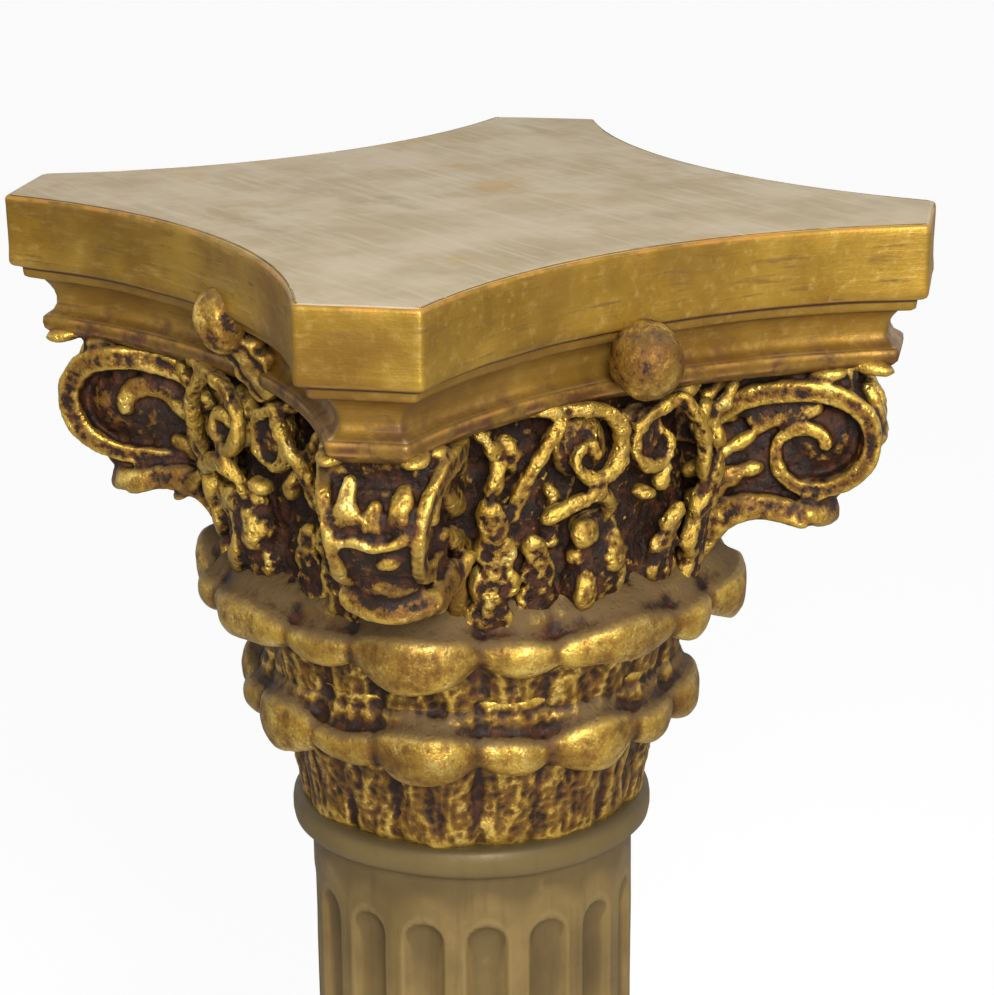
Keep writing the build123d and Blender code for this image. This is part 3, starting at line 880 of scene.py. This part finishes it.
# Gilded carving
GOLD = (0.56, 0.355, 0.06)
PALE_GOLD = (0.86, 0.67, 0.25)
DULL_GOLD = (0.20, 0.098, 0.014)
RED_BROWN = (0.062, 0.02, 0.007)
DARK_BROWN = (0.016, 0.007, 0.0035)
DUST = (0.125, 0.078, 0.032)
GLAZE = (0.135, 0.058, 0.012)

# Top of the abacus, which is worn pale
FADED, FADED_PALE, FADED_STREAK = (0.54, 0.43, 0.27), (0.68, 0.57, 0.40), (0.76, 0.66, 0.49)
ORANGE_STAIN, GREY_STAIN = (0.58, 0.38, 0.15), (0.36, 0.29, 0.18)

# Edge of the abacus
EDGE_DULL, EDGE_GOLD, EDGE_STREAK = (0.24, 0.125, 0.014), (0.42, 0.25, 0.035), (0.60, 0.42, 0.13)
EDGE_SMUDGE, EDGE_GLAZE, EDGE_RUBBED = (0.09, 0.052, 0.015), (0.17, 0.085, 0.018), (0.50, 0.24, 0.05)
COVE_BROWN, COVE_STAIN, GROOVE = (0.16, 0.07, 0.015), (0.075, 0.028, 0.010), (0.05, 0.018, 0.008)
COVE_HEIGHT, STAIN_HEIGHT = 0.969, 0.957

# Shaft and base
BRONZE, BRONZE_PALE, BRONZE_STREAK = (0.15, 0.098, 0.034), (0.24, 0.158, 0.056), (0.09, 0.058, 0.022)
# The ring's darker colour is painted shade of the leaves that overhang it
BRONZE_SUNK, BRONZE_PROUD, BRONZE_RING_SHADE = (0.07, 0.047, 0.02), (0.30, 0.21, 0.08), (0.085, 0.06, 0.022)
# Colour for faces that look up: dust, and painted shade where they lie under the leaves
BRONZE_BLOTCH, BRONZE_DUST_AND_SHADE = (0.28, 0.195, 0.08), (0.062, 0.042, 0.017)
RING_HEIGHT = 0.732


def gilded_carving(name, gilding, mottle=1.0, soft=0.0, grime=0.0, depth=0.001, outer=0.0):
    """Gold leaf on what stands proud, over a red-brown and black patina in what is sunk.

    Soft widens the change from one to the other, grime darkens what faces up, and outer adds
    gold to what stands clear of the bell.
    """
    finish = Finish(name)
    crest, proud = finish.measured("crest"), finish.measured("proud")
    patches, spots = finish.grain(0.012, 6, 0.62), finish.grain(0.0036, 5, 0.68)
    fine = finish.grain(0.0012, 3, 0.6)
    up = finish.facing()[2]
    height = crest * 2.0 + proud * 0.55 + (patches - 0.5) * 2.6 * mottle
    height = height + (spots - 0.5) * 2.6 * mottle + (fine - 0.5) * 0.8 + gilding
    if outer:
        across, along, _ = finish.split(finish.place)
        height = height + ((across**2.0 + along**2.0) ** 0.5).step(0.097, 0.105) * outer
    leafed = height.step(-0.25 - 0.5 * soft, 0.3 + 0.5 * soft)
    bright = (height + (patches - 0.5) * 0.8).step(0.15, 1.3)
    settled = 0.5 + 0.25 * grime + 0.45 * finish.grain(0.02, 4, 0.6)
    dusty = up.step(0.3 - 0.1 * grime, 0.85 - 0.2 * grime) * settled * height.step(-0.9, 0.2)
    dusty = dusty * (1 - (0.75 - 0.5 * grime) * bright)
    sunk = finish.blend(finish.grain(0.007, 4, 0.6).step(0.46, 0.66), DARK_BROWN, RED_BROWN)
    gold = finish.blend(bright, DULL_GOLD, GOLD)
    gold = finish.blend((fine * 0.4 + patches * 0.6).step(0.5, 0.72) * bright * 0.8, gold, PALE_GOLD)
    glaze = finish.grain(0.03, 5, 0.6, twist=0.6).step(0.4, 0.66)
    glaze = glaze * (0.9 - 0.55 * crest.step(0.05, 0.6))
    gold = finish.blend(glaze * (1 - 0.45 * soft), gold, GLAZE)
    colour = finish.blend(leafed, sunk, gold)
    colour = finish.blend(dusty, colour, DUST)
    pits = finish.cells(0.0035).step(0.0, 0.35)
    bump = spots * 0.6 + fine * 0.25 + pits * 0.35
    return finish.done(
        Base_Color=colour,
        Metallic=(0.35 + 0.5 * bright) * leafed * (1 - dusty),
        Specular_IOR_Level=0.2,
        Roughness=0.56 - bright * 0.25 + (spots - 0.5) * 0.2 + dusty * 0.25,
        Normal=finish.relief(bump, depth, 0.8),
    )


def gilded_table():
    """Abacus: pale and worn on top, gold with dark smudges and a stained cove on its edge."""
    finish = Finish("gilded table")
    worn = finish.measured("worn")
    up = finish.facing()[2]
    top = up.step(0.75, 0.95)
    cloud, blotch = finish.grain(0.045, 5, 0.6), finish.grain(0.012, 5, 0.6)
    fine = finish.grain(0.0016, 4, 0.6)
    brushed = finish.grain(0.004, 4, 0.6, (1.0, 0.06, 1.0))
    scratched = finish.grain(0.0035, 4, 0.65, (0.12, 0.12, 1.4))
    faded = finish.blend(cloud.step(0.35, 0.65), FADED, FADED_PALE)
    faded = finish.blend(brushed.step(0.45, 0.75) * 0.5, faded, FADED_STREAK)
    orange = finish.grain(0.05, 4, 0.55).step(0.56, 0.70)
    faded = finish.blend(orange * 0.6, faded, ORANGE_STAIN)
    grey = finish.grain(0.035, 6, 0.65, (1.0, 0.4, 1.0)).step(0.56, 0.72)
    faded = finish.blend(grey * 0.5, faded, GREY_STAIN)
    gold = finish.blend(cloud.step(0.3, 0.7), EDGE_DULL, EDGE_GOLD)
    gold = finish.blend(brushed.step(0.5, 0.75) * 0.4, gold, EDGE_STREAK)
    smudge = (scratched * 0.6 + blotch * 0.4).step(0.52, 0.66)
    gold = finish.blend(smudge * 0.7, gold, EDGE_SMUDGE)
    glaze = finish.grain(0.07, 4, 0.6, twist=0.5).step(0.46, 0.64)
    gold = finish.blend(glaze * 0.45, gold, EDGE_GLAZE)
    sunk = (0.0 - worn).step(0.3, 0.75)
    height = finish.split(finish.place)[2]
    stained = (STAIN_HEIGHT - height + (blotch - 0.5) * 0.03).step(0.0, 0.018)
    stained = stained * (0.4 + 0.55 * blotch.step(0.42, 0.6))
    gold = finish.blend((COVE_HEIGHT - height).step(-0.001, 0.002) * 0.35, gold, COVE_BROWN)
    gold = finish.blend(stained, gold, COVE_STAIN)
    gold = finish.blend(sunk, gold, GROOVE)
    colour = finish.blend(top, gold, faded)
    edge = worn.step(0.55, 0.95) * finish.grain(0.014, 4, 0.6).step(0.42, 0.6)
    colour = finish.blend(edge * 0.85, colour, EDGE_RUBBED)
    return finish.done(
        Base_Color=colour,
        Metallic=0.65 * (1 - top) * (1 - sunk) * (1 - smudge * 0.5) * (1 - stained * 0.8),
        Specular_IOR_Level=0.25,
        Roughness=0.42 + top * 0.36 + (blotch - 0.5) * 0.2 + smudge * 0.1,
        Normal=finish.relief(fine * 0.4 + scratched * 0.6 + blotch * 0.4, 0.0005, 0.6),
    )


def bronzed_resin(name, carries_relief):
    """Olive bronze paint, darker where it is sunk, and darker where it faces up, from dust and from painted
    shade. The ring is darkened too: painted shade, as of the leaves above it.
    """
    finish = Finish(name)
    cloud, blotch = finish.grain(0.05, 5, 0.6), finish.grain(0.009, 5, 0.6)
    fine = finish.grain(0.0015, 4, 0.6)
    brushed = finish.grain(0.005, 4, 0.6, (1.0, 1.0, 0.1))
    colour = finish.blend(cloud.step(0.3, 0.7), BRONZE, BRONZE_PALE)
    colour = finish.blend(brushed.step(0.5, 0.75) * 0.4, colour, BRONZE_STREAK)
    if carries_relief:
        crest, proud = finish.measured("crest"), finish.measured("proud")
        colour = finish.blend((0.0 - proud).step(0.1, 0.9) * 0.5, colour, BRONZE_SUNK)
        colour = finish.blend(crest.step(0.12, 0.5) * 0.3, colour, BRONZE_PROUD)
        # painted shade: the ring, which lies under the leaves, is darkened as if in their shadow
        ring = finish.split(finish.place)[2].step(RING_HEIGHT - 0.003, RING_HEIGHT)
        colour = finish.blend(ring * 0.5, colour, BRONZE_RING_SHADE)
    colour = finish.blend(blotch.step(0.62, 0.78) * 0.3, colour, BRONZE_BLOTCH)
    # darker on faces that look up: dust, and painted shade on the ring's shelf under the leaves
    colour = finish.blend(finish.facing()[2].step(0.02, 0.7) * 0.8, colour, BRONZE_DUST_AND_SHADE)
    return finish.done(
        Base_Color=colour,
        Metallic=0.2,
        Specular_IOR_Level=0.2,
        Roughness=0.48 + (blotch - 0.5) * 0.25,
        Normal=finish.relief(fine * 0.4 + blotch * 0.6, 0.0004, 0.6),
    )


# Studio

# Camera solved on the column's corners and seams: it aims at the middle of the table top, and
# is then panned, tilted and rolled by these degrees
EYE, AIM = Vector((-0.63316, -0.96096, 1.23500)), Vector((0, 0, 1))
LENS, SENSOR = 103.94, 36
PAN, TILT, ROLL = -0.574, -5.9667, 0.5971

GREY_WORLD, WHITE_WORLD = (0.25, 0.25, 0.25, 1), (1, 1, 1, 1)
FLOOR_RADIUS, FLOOR_GLOW, FLOOR_GLOW_SHARE = 9.0, 1.25, 0.7


def make_camera():
    camera = bpy.data.cameras.new("camera")
    camera.lens, camera.sensor_width = LENS, SENSOR
    camera.clip_start, camera.clip_end = 0.05, 50
    placed = bpy.data.objects.new("camera", camera)
    bpy.context.scene.collection.objects.link(placed)
    ahead = (AIM - EYE).normalized()
    right = ahead.cross(Vector((0, 0, 1))).normalized()
    up = right.cross(ahead)
    pan = Matrix.Rotation(math.radians(PAN), 3, up)
    ahead, right = pan @ ahead, pan @ right
    tilt = Matrix.Rotation(math.radians(TILT), 3, right)
    ahead, up = tilt @ ahead, tilt @ up
    roll = Matrix.Rotation(math.radians(ROLL), 3, ahead)
    right, up = roll @ right, roll @ up
    placed.matrix_world = Matrix.Translation(EYE) @ Matrix((right, up, -ahead)).transposed().to_4x4()
    bpy.context.scene.camera = placed


def make_light(name, place, aim, size, power):
    light = bpy.data.lights.new(name, "AREA")
    light.shape, light.size, light.energy = "DISK", size, power
    placed = bpy.data.objects.new(name, light)
    bpy.context.scene.collection.objects.link(placed)
    placed.location = place
    placed.rotation_euler = (Vector(aim) - Vector(place)).to_track_quat("-Z", "Y").to_euler()


def make_studio():
    """White surroundings that light the column only faintly, a pale floor and two lights."""
    world = bpy.data.worlds.new("studio")
    bpy.context.scene.world = world
    world.use_nodes = True
    nodes, links = world.node_tree.nodes, world.node_tree.links
    background = nodes["Background"]
    path = nodes.new("ShaderNodeLightPath")
    seen = nodes.new("ShaderNodeMath")
    seen.operation = "MAXIMUM"
    links.new(path.outputs["Is Camera Ray"], seen.inputs[0])
    links.new(path.outputs["Is Transmission Ray"], seen.inputs[1])
    white = nodes.new("ShaderNodeMath")
    white.operation = "MAXIMUM"
    links.new(seen.outputs[0], white.inputs[0])
    links.new(path.outputs["Is Glossy Ray"], white.inputs[1])
    mix = nodes.new("ShaderNodeMix")
    mix.data_type = "RGBA"
    links.new(white.outputs[0], mix.inputs[0])
    mix.inputs[6].default_value = GREY_WORLD
    mix.inputs[7].default_value = WHITE_WORLD
    links.new(mix.outputs[2], background.inputs["Color"])

    bm = bmesh.new()
    bmesh.ops.create_circle(bm, cap_ends=True, segments=64, radius=FLOOR_RADIUS)
    floor = mesh_object("floor", bm)
    pale = Finish("pale floor")
    pale.done(Base_Color=(0.85, 0.85, 0.85), Roughness=0.8)
    glow = pale.node("ShaderNodeEmission", None, {"Color": (1, 1, 1, 1), "Strength": FLOOR_GLOW})
    seen = Value(pale, pale.node("ShaderNodeLightPath").outputs["Is Camera Ray"])
    inputs = {0: seen * FLOOR_GLOW_SHARE, 1: pale.shader.outputs[0], 2: glow.outputs[0]}
    mixed = pale.node("ShaderNodeMixShader", None, inputs)
    pale.tree.links.new(mixed.outputs[0], pale.tree.nodes["Material Output"].inputs[0])
    floor.data.materials.append(pale.material)

    make_light("key", (-0.9, -1.85, 1.75), (0, 0, 0.8), 0.8, 66)
    make_light("fill", (1.9, -1.2, 2.2), (0, 0, 0.9), 1.0, 4)
    bpy.context.scene.view_settings.view_transform = "Standard"


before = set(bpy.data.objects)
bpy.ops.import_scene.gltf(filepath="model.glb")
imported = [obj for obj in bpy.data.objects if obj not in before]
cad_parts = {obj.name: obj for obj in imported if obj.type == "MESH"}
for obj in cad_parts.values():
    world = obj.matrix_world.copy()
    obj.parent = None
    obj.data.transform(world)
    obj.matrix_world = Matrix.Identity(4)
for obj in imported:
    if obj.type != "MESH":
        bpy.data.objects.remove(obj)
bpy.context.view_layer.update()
make_camera()
make_studio()
make_abacus(gilded_table())
volute_gilding = gilded_carving("gilded volutes", -0.4, depth=0.0014)
make_volutes("front-volutes", HORNS[2:], volute_gilding, "capital")
make_volutes("back-volutes", HORNS[:2], volute_gilding)
side_gilding = gilded_carving("gilded side carving", -1.25, 1.6, depth=0.0025, outer=0.75)
make_side_carving("front-carving", SIDES[2:], side_gilding)
make_side_carving("back-carving", SIDES[:2], side_gilding)
make_bosses(gilded_carving("gilded bosses", 0.05, 1.2))
leaf_gilding = gilded_carving("gilded leaves", -0.05, 0.4, soft=1.0, grime=1.0)
make_upper_leaves(leaf_gilding)
make_lower_leaves(leaf_gilding)
make_shaft(bronzed_resin("bronzed shaft", True))
make_base(bronzed_resin("bronzed base", False))
